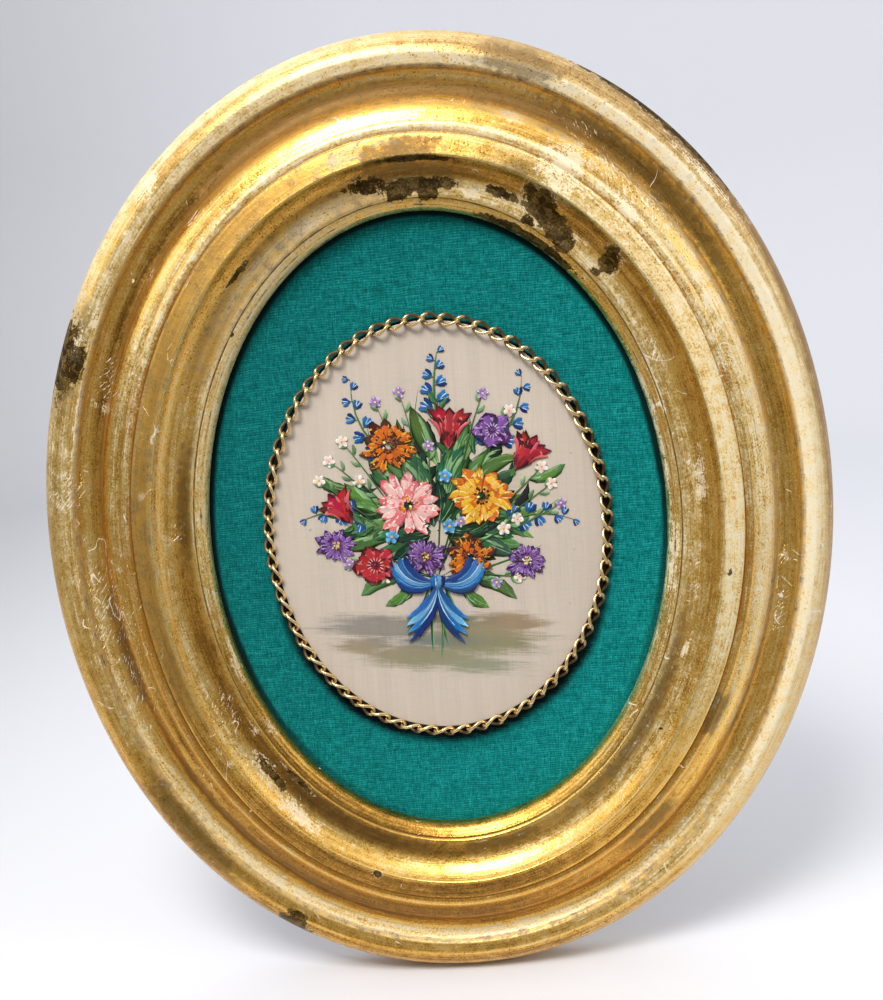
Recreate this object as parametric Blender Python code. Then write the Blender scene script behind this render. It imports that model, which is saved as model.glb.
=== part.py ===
"""Framed silk painting: a gilt oval moulding round a cloth mat, a silk-covered card and its chain trim.

Every piece is laid out face up on the bench: x across, y up the picture, z out from the wall plane.
The hanging point, an empty, then stands the bench upright: the picture faces -Y and its back is at y = 0.
"""
import bpy
import numpy as np
from math import cos, pi, radians, sin

# Overall sizes, in metres
SIGHT_HALF_WIDTH = 0.0695
SIGHT_HALF_HEIGHT = 0.0950
MOULDING_WIDTH = 0.0498
FRAME_SEGMENTS = 60

# The moulding's profile: distance out from the sight edge, and height out from the wall plane
REBATE_WIDTH = 0.0060
LIP_UNDERSIDE = 0.0094
SIGHT_EDGE = (0.0, 0.0120)
LIP_GROOVE = (0.0029, 0.0152)
INNER_COVE_START = (0.0042, 0.0163)
RIDGE_INNER_EDGE = (0.0150, 0.0226)
RIDGE_OUTER_EDGE = (0.0211, 0.0209)
BEAD_START = (0.0215, 0.0199)
BEAD_END = (0.0247, 0.0195)
OVOLO_END = (0.0314, 0.0148)
RIM_INNER_EDGE = (0.0396, 0.0154)
RIM_CREST = (0.0430, 0.0165)
SIDE_TOP = (MOULDING_WIDTH, 0.0098)
SIDE_FOOT = (0.0493, 0.0)
# How far each curved member stands proud of its chord (a hollow is negative), and its facets
LIP_BEAD = (0.0003, 2)
INNER_COVE = (-0.0021, 5)
ASTRAGAL = (0.0009, 3)
OVOLO = (0.0009, 3)
OUTER_COVE = (-0.0022, 5)
SHOULDER = (0.0015, 4)

# Mat, silk card and backing
FIT_GAP = 0.0003
MAT_THICKNESS = 0.0021
BACKING_THICKNESS = 0.0028
CARD_HALF_WIDTH = 0.0508
CARD_HALF_HEIGHT = 0.0635
CARD_THICKNESS = 0.0012
CARD_EDGE_ROUND = 0.0003

# Chain trim
LINK_COUNT = 70
WIRE_RADIUS = 0.0004
LINK_HALF_WIDTH = 0.00155
LINK_TWIST = 0.00064
LINK_BOW_ANGLE = radians(32)
LINK_BITE = 0.7
CHAIN_OUTSET = 0.0005
CHAIN_LIFT = 0.00115
CHAIN_TILT = radians(15)

# The hanging point, on the back of the top rail
HANG_RISE = 0.028

COLLECTION_NAME = "framed_silk_painting"


def clear_scene():
    for item in list(bpy.data.objects):
        bpy.data.objects.remove(item, do_unlink=True)


def new_collection(name):
    collection = bpy.data.collections.new(name)
    bpy.context.scene.collection.children.link(collection)
    return collection


def finish(name, colour, roughness, metallic=0.0):
    material = bpy.data.materials.new(name)
    material.use_nodes = True
    shader = material.node_tree.nodes["Principled BSDF"]
    shader.inputs["Base Color"].default_value = (*colour, 1.0)
    shader.inputs["Roughness"].default_value = roughness
    shader.inputs["Metallic"].default_value = metallic
    return material


def oval(half_width, half_height, outset=0.0, count=FRAME_SEGMENTS):
    """Points round an ellipse, each moved out square to it by the outset; anticlockwise from +x."""
    points = []
    for step in range(count):
        angle = 2 * pi * step / count
        normal = np.array([half_height * cos(angle), half_width * sin(angle)])
        normal /= np.linalg.norm(normal)
        points.append(np.array([half_width * cos(angle), half_height * sin(angle)]) + outset * normal)
    return points


def arc(start, end, bulge, facets):
    """Points after start up to end on a circular arc whose middle stands off its chord by the bulge."""
    start, end = np.array(start), np.array(end)
    chord = end - start
    half = np.linalg.norm(chord) / 2
    left = np.array([-chord[1], chord[0]]) / (2 * half)
    radius = (half * half + bulge * bulge) / (2 * bulge)
    centre = (start + end) / 2 + left * (bulge - radius)
    sweep = 2 * np.arcsin(half / radius)
    points = []
    for step in range(1, facets + 1):
        turn = -sweep * step / facets
        spoke = start - centre
        points.append(centre + np.array([cos(turn) * spoke[0] - sin(turn) * spoke[1],
                                         sin(turn) * spoke[0] + cos(turn) * spoke[1]]))
    return points


def moulding_profile():
    """Outline of the frame's section, from the sight edge over the face, down the side, round the rebate."""
    points = [SIGHT_EDGE]
    points += arc(SIGHT_EDGE, LIP_GROOVE, *LIP_BEAD)
    points.append(INNER_COVE_START)
    points += arc(INNER_COVE_START, RIDGE_INNER_EDGE, *INNER_COVE)
    points.append(RIDGE_OUTER_EDGE)
    points.append(BEAD_START)
    points += arc(BEAD_START, BEAD_END, *ASTRAGAL)
    points += arc(BEAD_END, OVOLO_END, *OVOLO)
    points += arc(OVOLO_END, RIM_INNER_EDGE, *OUTER_COVE)
    points.append(RIM_CREST)
    points += arc(RIM_CREST, SIDE_TOP, *SHOULDER)
    points.append(SIDE_FOOT)
    points.append((REBATE_WIDTH, 0.0))
    points.append((REBATE_WIDTH, LIP_UNDERSIDE))
    points.append((0.0, LIP_UNDERSIDE))
    return points


def poly_curve(name, loops, dimensions="3D"):
    """A curve object of closed straight-sided loops."""
    data = bpy.data.curves.new(name, "CURVE")
    data.dimensions = dimensions
    for loop in loops:
        spline = data.splines.new("POLY")
        spline.points.add(len(loop) - 1)
        for point, place in zip(spline.points, loop):
            point.co = (*place, 1.0) if len(place) == 3 else (*place, 0.0, 1.0)
        spline.use_cyclic_u = True
    return bpy.data.objects.new(name, data)


def as_mesh(curve, name):
    """The curve's solid as a mesh object of the given name; the curve is removed."""
    bpy.context.view_layer.update()
    evaluated = curve.evaluated_get(bpy.context.evaluated_depsgraph_get())
    mesh = bpy.data.meshes.new_from_object(evaluated)
    mesh.name = name
    solid = bpy.data.objects.new(name, mesh)
    solid.matrix_world = curve.matrix_world
    bpy.data.objects.remove(curve, do_unlink=True)
    return solid


def stand(piece, hanging_point, collection):
    """Put a bench piece in the collection and hang it from the hanging point."""
    if piece.name not in collection.objects:
        collection.objects.link(piece)
    piece.parent = hanging_point


def make_frame(parts, guides, hanging_point):
    """The gilt moulding: its section carried round the sight oval, and laid outward from it."""
    profile = [(-out, height) for out, height in reversed(moulding_profile())]
    section = poly_curve("moulding_section", [profile], "2D")
    section.data.fill_mode = "NONE"
    section.hide_render = True
    section.display_type = "WIRE"
    guides.objects.link(section)
    path = poly_curve("sight_path", [oval(SIGHT_HALF_WIDTH, SIGHT_HALF_HEIGHT)], "2D")
    path.data.fill_mode = "NONE"
    path.data.bevel_mode = "OBJECT"
    path.data.bevel_object = section
    parts.objects.link(path)
    frame = as_mesh(path, "gilt_frame")
    frame.data.materials.clear()
    frame.data.materials.append(finish("gold_leaf", (0.62, 0.40, 0.12), 0.35, 0.85))
    frame.data.shade_smooth()
    frame.data.set_sharp_from_angle(angle=radians(25))
    stand(frame, hanging_point, parts)


def make_board(name, outline, front, thickness, material, parts, hanging_point, edge_round=0.0):
    """A flat oval board whose face is at the given height."""
    board = poly_curve(name, [outline], "2D")
    board.data.fill_mode = "BOTH"
    board.data.extrude = thickness / 2 - edge_round
    board.data.bevel_depth = edge_round
    board.data.bevel_resolution = 0
    board.data.offset = -edge_round
    board.data.materials.append(material)
    board.location.z = front - thickness / 2
    stand(board, hanging_point, parts)


def chain_stations(half_width, half_height, count):
    """Angles that part an ellipse into equal lengths."""
    fine = np.linspace(0, 2 * pi, 4001)
    steps = np.hypot(np.diff(half_width * np.cos(fine)), np.diff(half_height * np.sin(fine)))
    run = np.concatenate([[0.0], np.cumsum(steps)])
    return np.interp(np.arange(count) * run[-1] / count, run, fine), run[-1] / count


def link_loop(angle, half_width, half_height, bow_reach, height):
    """One curb link: an oval whose opposite quarters rise and dip, set along the ellipse at the angle.

    Each bow is one straight run of wire between two corners, and neighbours cross there.
    """
    along = np.array([-half_width * sin(angle), half_height * cos(angle), 0.0])
    along /= np.linalg.norm(along)
    outward = np.array([along[1], -along[0], 0.0])
    front = np.array([0.0, 0.0, 1.0])
    across = outward * cos(CHAIN_TILT) - front * sin(CHAIN_TILT)
    up = front * cos(CHAIN_TILT) + outward * sin(CHAIN_TILT)
    centre = np.array([half_width * cos(angle), half_height * sin(angle), height])
    half_length = bow_reach / cos(LINK_BOW_ANGLE)
    half_turn = [LINK_BOW_ANGLE, pi / 2, pi - LINK_BOW_ANGLE]
    turns = half_turn + [pi + turn for turn in half_turn]
    return [tuple(centre + half_length * cos(turn) * along + LINK_HALF_WIDTH * sin(turn) * across
                  + LINK_TWIST * sin(2 * turn) * up) for turn in turns]


def make_chain(parts, guides, hanging_point, card_front):
    """The curb chain: every second link is in one set, so the two sets only meet where links touch."""
    half_width = CARD_HALF_WIDTH + CHAIN_OUTSET
    half_height = CARD_HALF_HEIGHT + CHAIN_OUTSET
    stations, pitch = chain_stations(half_width, half_height, LINK_COUNT)
    bow_reach = pitch / 2 + LINK_BITE * WIRE_RADIUS
    height = card_front + CHAIN_LIFT
    links = [link_loop(angle, half_width, half_height, bow_reach, height) for angle in stations]
    brass = finish("antique_brass", (0.55, 0.38, 0.15), 0.35, 0.9)
    sets = []
    for first, name in ((0, "chain_trim"), (1, "alternate_links")):
        wires = poly_curve(name + "_wire", links[first::2])
        wires.data.bevel_depth = WIRE_RADIUS
        wires.data.bevel_resolution = 0
        wires.data.materials.append(brass)
        parts.objects.link(wires)
        sets.append(as_mesh(wires, name))
    chain, alternate = sets
    guides.objects.link(alternate)
    alternate.hide_render = True
    alternate.display_type = "WIRE"
    alternate.parent = hanging_point
    stand(chain, hanging_point, parts)
    union = chain.modifiers.new("fuse_links", "BOOLEAN")
    union.operation = "UNION"
    union.solver = "EXACT"
    union.object = alternate


def main():
    clear_scene()
    parts = new_collection(COLLECTION_NAME)
    guides = new_collection("guides")
    hanging_point = bpy.data.objects.new("hanging_point", None)
    hanging_point.rotation_euler = (pi / 2, 0.0, 0.0)
    hanging_point.location = (0.0, 0.0, -(SIGHT_HALF_HEIGHT + HANG_RISE))
    parts.objects.link(hanging_point)

    make_frame(parts, guides, hanging_point)
    rebate_fill = oval(SIGHT_HALF_WIDTH, SIGHT_HALF_HEIGHT, REBATE_WIDTH - FIT_GAP)
    mat_front = LIP_UNDERSIDE - FIT_GAP
    make_board("fabric_mat", rebate_fill, mat_front, MAT_THICKNESS,
               finish("teal_cloth", (0.01, 0.16, 0.14), 0.9), parts, hanging_point)
    backing_front = mat_front - MAT_THICKNESS - FIT_GAP
    make_board("backing_board", rebate_fill, backing_front, BACKING_THICKNESS,
               finish("grey_card", (0.36, 0.28, 0.19), 0.9), parts, hanging_point)
    card_front = mat_front + FIT_GAP + CARD_THICKNESS
    make_board("silk_panel", oval(CARD_HALF_WIDTH, CARD_HALF_HEIGHT), card_front, CARD_THICKNESS,
               finish("painted_silk", (0.66, 0.57, 0.48), 0.55), parts, hanging_point, CARD_EDGE_ROUND)
    make_chain(parts, guides, hanging_point, card_front)


main()
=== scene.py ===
"""Framed silk painting: a worn gilt oval frame, a ribbed teal mat and a painted silk oval edged with chain.

Lengths are in metres. The picture faces -Y and +Z is up. A "turn" is the angle round an oval,
anticlockwise from the right as a viewer sees it.
"""
import bpy
import numpy as np
from mathutils import Matrix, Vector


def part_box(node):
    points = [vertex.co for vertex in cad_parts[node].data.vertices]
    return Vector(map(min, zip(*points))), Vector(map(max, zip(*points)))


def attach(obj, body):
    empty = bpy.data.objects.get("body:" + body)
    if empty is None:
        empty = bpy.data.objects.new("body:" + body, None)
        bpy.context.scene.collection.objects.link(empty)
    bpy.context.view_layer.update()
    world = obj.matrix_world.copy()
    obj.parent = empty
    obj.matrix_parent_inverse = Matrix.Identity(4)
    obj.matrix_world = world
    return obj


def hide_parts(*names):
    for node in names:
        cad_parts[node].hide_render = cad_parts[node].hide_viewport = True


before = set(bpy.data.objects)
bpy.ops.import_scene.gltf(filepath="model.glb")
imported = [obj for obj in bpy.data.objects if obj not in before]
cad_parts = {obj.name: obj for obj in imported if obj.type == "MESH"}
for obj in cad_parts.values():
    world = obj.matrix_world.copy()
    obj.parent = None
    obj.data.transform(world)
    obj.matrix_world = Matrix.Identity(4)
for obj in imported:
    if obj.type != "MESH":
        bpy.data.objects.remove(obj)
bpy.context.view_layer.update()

scene = bpy.context.scene
scene.view_settings.view_transform = "Standard"

# ---- Camera ----
# A hand-held view from just above the picture's middle and a little to its right, with the camera
# tipped a few degrees, so the oval leans to the left.
VIEW_DISTANCE = 0.395
VIEW_SIDE = np.radians(2.17)
VIEW_RISE = np.radians(11.5)
VIEW_TIP = np.radians(-4.24)
VIEW_FOCAL = 1.305                    # of the picture's height
VIEW_SLIDE = (0.0036, 0.0315)         # to the right and up, of the picture's height
SENSOR = 36
SIGHT_FRONT = 0.012                  # the sight edge's height over the wall plane

panel_low, panel_high = (np.array(corner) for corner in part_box("silk_panel"))
MIDDLE_HEIGHT = (panel_low[2] + panel_high[2]) / 2


def stood(name, data, side, top, away, place):
    """A new object in the scene, its x, y and z along three directions and its origin at a place."""
    thing = bpy.data.objects.new(name, data)
    scene.collection.objects.link(thing)
    thing.matrix_world = Matrix([[side[i], top[i], away[i], place[i]] for i in range(3)] + [[0, 0, 0, 1]])
    return thing


toward = np.array([np.sin(VIEW_SIDE) * np.cos(VIEW_RISE), -np.cos(VIEW_SIDE) * np.cos(VIEW_RISE),
    np.sin(VIEW_RISE)])
untipped = np.array([np.cos(VIEW_SIDE), np.sin(VIEW_SIDE), 0])
upright = np.cross(toward, untipped)
view_right = np.cos(VIEW_TIP) * untipped + np.sin(VIEW_TIP) * upright
view_up = -np.sin(VIEW_TIP) * untipped + np.cos(VIEW_TIP) * upright
eye = (np.array([0, -SIGHT_FRONT, MIDDLE_HEIGHT]) + VIEW_DISTANCE * toward
    + VIEW_DISTANCE / VIEW_FOCAL * (VIEW_SLIDE[0] * view_right + VIEW_SLIDE[1] * view_up))
camera_data = bpy.data.cameras.new("camera")
camera_data.sensor_width = SENSOR
camera_data.lens = VIEW_FOCAL * SENSOR
camera_data.clip_start = 0.01
scene.camera = stood("camera", camera_data, view_right, view_up, toward, eye)

# ---- Floor and light ----
# A pale floor that sweeps up into a low wall all round. One broad lamp stands above and to the left,
# and large soft panels light the sides and the top.


def apply(node, values):
    """Sets a node's sockets, each from a wire or a plain value."""
    for name, value in values.items():
        if isinstance(value, Wire):
            value.tree.links.new(value.socket, node.inputs[name])
        else:
            node.inputs[name].default_value = value


class Wire:
    """A socket in a material's tree. Sums on wires add Math nodes, and node() adds any other kind."""

    def __init__(self, tree, socket=None):
        self.tree = tree
        self.socket = socket

    def node(self, kind, settings=None, inputs=None, out=0):
        """A new node: its settings are set first, then its sockets take wires or plain values."""
        made = self.tree.nodes.new("ShaderNode" + kind)
        for name, value in (settings or {}).items():
            setattr(made, name, value)
        apply(made, inputs or {})
        return Wire(self.tree, made.outputs[out])

    def sum(self, operation, *others, kind="Math", out=0):
        return self.node(kind, {"operation": operation}, dict(enumerate((self, *others))), out)

    def __add__(self, other):
        return self.sum("ADD", other)

    __radd__ = __add__

    def __mul__(self, other):
        return self.sum("MULTIPLY", other)

    __rmul__ = __mul__

    def __sub__(self, other):
        return self.sum("SUBTRACT", other)

    def __rsub__(self, other):
        return self.node("Math", {"operation": "SUBTRACT"}, {0: other, 1: self})

    def part(self, axis):
        return self.node("SeparateXYZ", None, {0: self}, axis)

    def read(self, name, out="Fac"):
        """What mark() has put on the mesh under a name: a number, or from "Vector" three of them."""
        return self.node("Attribute", {"attribute_name": name}, out=out)

    def rise(self, low, high):
        """0 up to the low value and 1 from the high one, with a smooth rise between them."""
        return self.node("MapRange", {"interpolation_type": "SMOOTHSTEP"},
            {"Value": self, "From Min": low, "From Max": high})

    def grain(self, scale, stretch=(1, 1, 1), detail=2, roughness=0.5):
        """Noise on this vector, first stretched along its axes; 0 to 1, mostly near a half."""
        stretched = self.sum("MULTIPLY", stretch, kind="VectorMath")
        return self.node("TexNoise", None, {"Vector": stretched, "Scale": scale, "Detail": detail,
            "Roughness": roughness})

    def between(self, under, over):
        """The first colour where this value is 0, the second where it is 1, and their mix between."""
        under, over = (tint if isinstance(tint, Wire) else (*tint, 1) for tint in (under, over))
        return self.node("Mix", {"data_type": "RGBA"}, {0: self, 6: under, 7: over}, 2)

    def tinted(self, over, mask):
        return mask.between(self, over)

    def scaled(self, factor):
        return self.node("VectorMath", {"operation": "SCALE"}, {0: self, "Scale": factor})

    def ramp(self, *stops):
        """The colour at this value on a run of (value, colour) stops, in rising order."""
        made = self.node("ValToRGB", None, {0: self})
        elements = made.socket.node.color_ramp.elements
        elements[0].position, elements[1].position = stops[0][0], stops[-1][0]
        for value, _ in stops[1:-1]:
            elements.new(value)
        for element, (_, colour) in zip(elements, stops):
            element.color = (*colour, 1)
        return made

    def bump(self, strength, distance):
        return self.node("Bump", None, {"Strength": strength, "Distance": distance, "Height": self})


def new_finish(name):
    """A material, the wire that gives a point's place on the object, and the material's shader."""
    material = bpy.data.materials.new(name)
    material.use_nodes = True
    tree = material.node_tree
    return material, Wire(tree).node("TexCoord", out="Object"), tree.nodes["Principled BSDF"]


def coat(shader, colour, roughness, shine, relief, more):
    """Sets a shader's colour, roughness, shine, relief and whatever more it needs."""
    apply(shader, {"Base Color": colour, "Roughness": roughness, "Specular IOR Level": shine,
        "Normal": relief, **more})


def turns(count):
    return np.arange(count) * 2 * np.pi / count


def quad_grid(rows, columns, closed=False):
    """Corner numbers of the quads between rings of points. Closed, the last ring joins the first."""
    row = np.arange(rows if closed else rows - 1)[:, None]
    column = np.arange(columns)[None, :]
    next_row, next_column = (row + 1) % rows, (column + 1) % columns
    return np.stack([row * columns + column, next_row * columns + column, next_row * columns + next_column,
        row * columns + next_column], -1).reshape(-1, 4)


def new_piece(name, points, faces, material):
    """A smooth mesh object at the origin, from its points and a list of arrays of faces."""
    mesh = bpy.data.meshes.new(name)
    mesh.from_pydata(points.reshape(-1, 3).tolist(), [],
        [face for block in faces for face in block.tolist()])
    mesh.materials.append(material)
    mesh.polygons.foreach_set("use_smooth", np.full(len(mesh.polygons), True))
    mesh.update()
    piece = bpy.data.objects.new(name, mesh)
    scene.collection.objects.link(piece)
    return piece


def mark(piece, name, values):
    """Puts values on the piece's points under a name: one number for each, or three."""
    values = np.asarray(values, dtype=np.float32).ravel()
    kind, key = ("FLOAT", "value") if values.size == len(piece.data.vertices) else ("FLOAT_VECTOR", "vector")
    piece.data.attributes.new(name, kind, "POINT").data.foreach_set(key, values)


FLOOR_DROP = 0.0004
FLOOR_REACH = 0.95
FLOOR_SWEEP = 0.35
FLOOR_ROUND = 96
WALL_TOP = 0.3
FLOOR_PALE = (0.78, 0.79, 0.83)
FLOOR_SHADED = (0.22, 0.21, 0.2)

foot = np.array(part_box("gilt_frame")[0])[2]
sweep = np.linspace(0, np.pi / 2, 14)
reach = np.concatenate([[0.02, 0.3, 0.7], FLOOR_REACH + FLOOR_SWEEP * np.sin(sweep),
    [FLOOR_REACH + FLOOR_SWEEP]])
rise = np.concatenate([[0, 0, 0], FLOOR_SWEEP * (1 - np.cos(sweep)), [WALL_TOP - foot]])
turn = turns(FLOOR_ROUND)
floor_points = np.stack([np.outer(reach, np.cos(turn)), np.outer(reach, np.sin(turn)),
    np.repeat(rise[:, None] + foot - FLOOR_DROP, FLOOR_ROUND, 1)], -1)
floor_finish, place, shader = new_finish("pale_floor")
# Shaded in front of the picture and away to the left
sideways, backward = place.part(0), place.part(1)
near_shade = (-0.022 - backward - sideways * 0.1).rise(0, 0.11)
left_shade = (-0.05 - sideways).rise(0, 0.7) * (0.98 - backward * 0.5)
apply(shader, {"Base Color": near_shade.sum("MAXIMUM", left_shade).between(FLOOR_PALE, FLOOR_SHADED),
    "Roughness": 0.95, "Specular IOR Level": 0.1})
floor = new_piece("floor", floor_points, [quad_grid(len(reach), FLOOR_ROUND),
    np.arange(FLOOR_ROUND)[None, :]], floor_finish)

scene.world = bpy.data.worlds.new("room")
scene.world.use_nodes = True
apply(scene.world.node_tree.nodes["Background"], {"Color": (0.96, 0.97, 1, 1), "Strength": 0.48})


def soft_panel(name, place, aim, width, height, glow, colour):
    """A soft lamp of the given size and surface brightness, turned toward a point."""
    lamp = bpy.data.lights.new(name, "AREA")
    lamp.shape = "RECTANGLE"
    lamp.size, lamp.size_y = width, height
    lamp.energy = glow * np.pi * width * height
    lamp.color = colour
    away = np.array(place) - np.array(aim)
    away = away / np.linalg.norm(away)
    side = np.cross((0, 0, 1) if abs(away[2]) < 0.99 else (0, 1, 0), away)
    side = side / np.linalg.norm(side)
    stood(name, lamp, side, np.cross(away, side), away, place).visible_camera = False


KEY_WAY = np.array([-0.2, -0.6, 0.78])
COOL = (0.97, 0.98, 1)
picture_middle = np.array([0, 0, MIDDLE_HEIGHT])
soft_panel("key_lamp", picture_middle + 1.05 * KEY_WAY, picture_middle, 0.36, 0.36, 23, (1, 0.97, 0.94))
soft_panel("ceiling_panel", (0.1, -0.15, 1.35), (0.1, -0.14, 0), 2.7, 2.3, 0.72, COOL)
soft_panel("right_panel", (1.35, -0.45, 0.3), picture_middle, 1.2, 0.9, 1.25, COOL)
soft_panel("left_panel", (-1.3, -0.4, 0.5), picture_middle, 1, 0.8, 1.15, COOL)
soft_panel("wall_lamp", (0.55, 0.5, 0.85), (0.55, 1.3, -0.1), 1, 0.3, 1, (0.96, 0.98, 1))

# ---- Gilt frame ----
# A turned and jointed softwood oval, coated with gesso and bole and laid with gold leaf. The leaf is
# rubbed on the ridges, dirty in the hollows, and flaked to the dark ground in a few places.
SIGHT_HALVES = np.array([0.0695, 0.095])
LIP_UNDERSIDE = 0.0094
# Where each member of the section ends, how far it bulges over its chord, and its steps
MEMBERS = (((0, 0.012), 0, 6), ((0.0029, 0.0152), 0.0004, 10), ((0.0042, 0.0163), 0, 5),
    ((0.015, 0.0226), -0.0021, 30), ((0.0211, 0.0209), 0, 16), ((0.0215, 0.0199), 0, 4),
    ((0.0247, 0.0195), 0.0009, 12), ((0.0314, 0.0148), 0.0009, 22), ((0.0396, 0.0154), -0.0022, 24),
    ((0.043, 0.0165), 0, 10), ((0.0498, 0.0098), 0.0015, 26), ((0.0493, 0), 0, 12), ((0.006, 0), 0, 10),
    ((0.006, 0.0094), 0, 5), ((0, 0.0094), 0, 4))
# Cut lines between the members: distance out, half width and depth
GROOVES = ((0.0017, 0.0003, 0.00014), (0.0036, 0.0002, 0.00032), (0.0148, 0.0002, 0.00008),
    (0.0396, 0.00022, 0.0001))
ARRIS_ROUND = 0.0003
HOLLOW_REACH = 0.0011                 # how far round a point tells whether it lies in a hollow
FINE_STEP = 0.00006
AROUND = 540
POINT_SPACING, BACK_SPACING = 0.00118, 0.004
CORNER_SPREAD, CORNER_CROWDING = 0.0006, 3.2
FRONT_FROM, SIDE_FROM = 0.0012, 0.0494
UNEVENNESS, FLAKE_DEPTH = 0.00002, 0.00018


def bulged(start, end, bulge, steps):
    """Points after start up to end on a circular arc that stands off its chord by the bulge."""
    start, end = np.array(start), np.array(end)
    part = np.linspace(0, 1, steps + 1)[1:, None]
    if bulge == 0:
        return start + (end - start) * part
    chord = end - start
    half = np.linalg.norm(chord) / 2
    left = np.array([-chord[1], chord[0]]) / (2 * half)
    radius = (half * half + bulge * bulge) / (2 * bulge)
    centre = (start + end) / 2 + left * (bulge - radius)
    angle = -2 * np.arcsin(half / radius) * part
    spoke = start - centre
    return centre + np.hstack([np.cos(angle) * spoke[0] - np.sin(angle) * spoke[1],
        np.sin(angle) * spoke[0] + np.cos(angle) * spoke[1]])


def eased(loop, width):
    """A closed outline evenly resampled, then each point averaged with its neighbours within the width."""
    ends = np.vstack([loop, loop[:1]])
    run = np.concatenate([[0], np.cumsum(np.linalg.norm(np.diff(ends, axis=0), axis=1))])
    fine = np.arange(0, run[-1], FINE_STEP)
    points = np.stack([np.interp(fine, run, ends[:, axis]) for axis in (0, 1)], 1)
    reach = int(np.ceil(3 * width / FINE_STEP))
    steps = range(-reach, reach + 1)
    weights = np.exp(-0.5 * (np.array(steps) * FINE_STEP / width) ** 2)
    weights /= weights.sum()
    return sum(weight * np.roll(points, step, 0) for weight, step in zip(weights, steps)), fine


def on_oval(turn, out, height, halves=SIGHT_HALVES):
    """The point at a turn round an oval, moved out square to it and forward from the wall plane."""
    normal = np.stack([halves[1] * np.cos(turn), halves[0] * np.sin(turn)])
    normal = normal / np.linalg.norm(normal, axis=0)
    across = halves[0] * np.cos(turn) + out * normal[0]
    up = halves[1] * np.sin(turn) + out * normal[1]
    return np.stack([across, -height + 0 * across, MIDDLE_HEIGHT + up], -1)


section = [np.array([MEMBERS[-1][0]])]
for end, bulge, steps in MEMBERS:
    section.append(bulged(section[-1][-1], end, bulge, steps))
section = np.vstack(section[1:])
fine_section, run = eased(section, ARRIS_ROUND)
corners = [edge[0][0] for edge in MEMBERS[:11]] + [groove[0] for groove in GROOVES]
# Points lie closer together near the corners and the cut lines, and wide apart on the back
crowding = sum(np.exp(-((fine_section[:, 0] - corner) / CORNER_SPREAD) ** 2) for corner in corners)
spacing = np.where(fine_section[:, 1] > FRONT_FROM,
    POINT_SPACING / (1 + CORNER_CROWDING * np.minimum(crowding, 1)), BACK_SPACING)
kept = np.flatnonzero(np.diff(np.floor(np.cumsum(FINE_STEP / spacing)), prepend=-1) > 0)
out, height, run = fine_section[kept, 0], fine_section[kept, 1], run[kept]
rng = np.random.default_rng(11)
turn = turns(AROUND)[:, None]
# Gilded on the front and the outer side, bare wood behind
bare = np.where((height > LIP_UNDERSIDE + 0.0002) | (out > SIDE_FROM), 0, 1)

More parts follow.
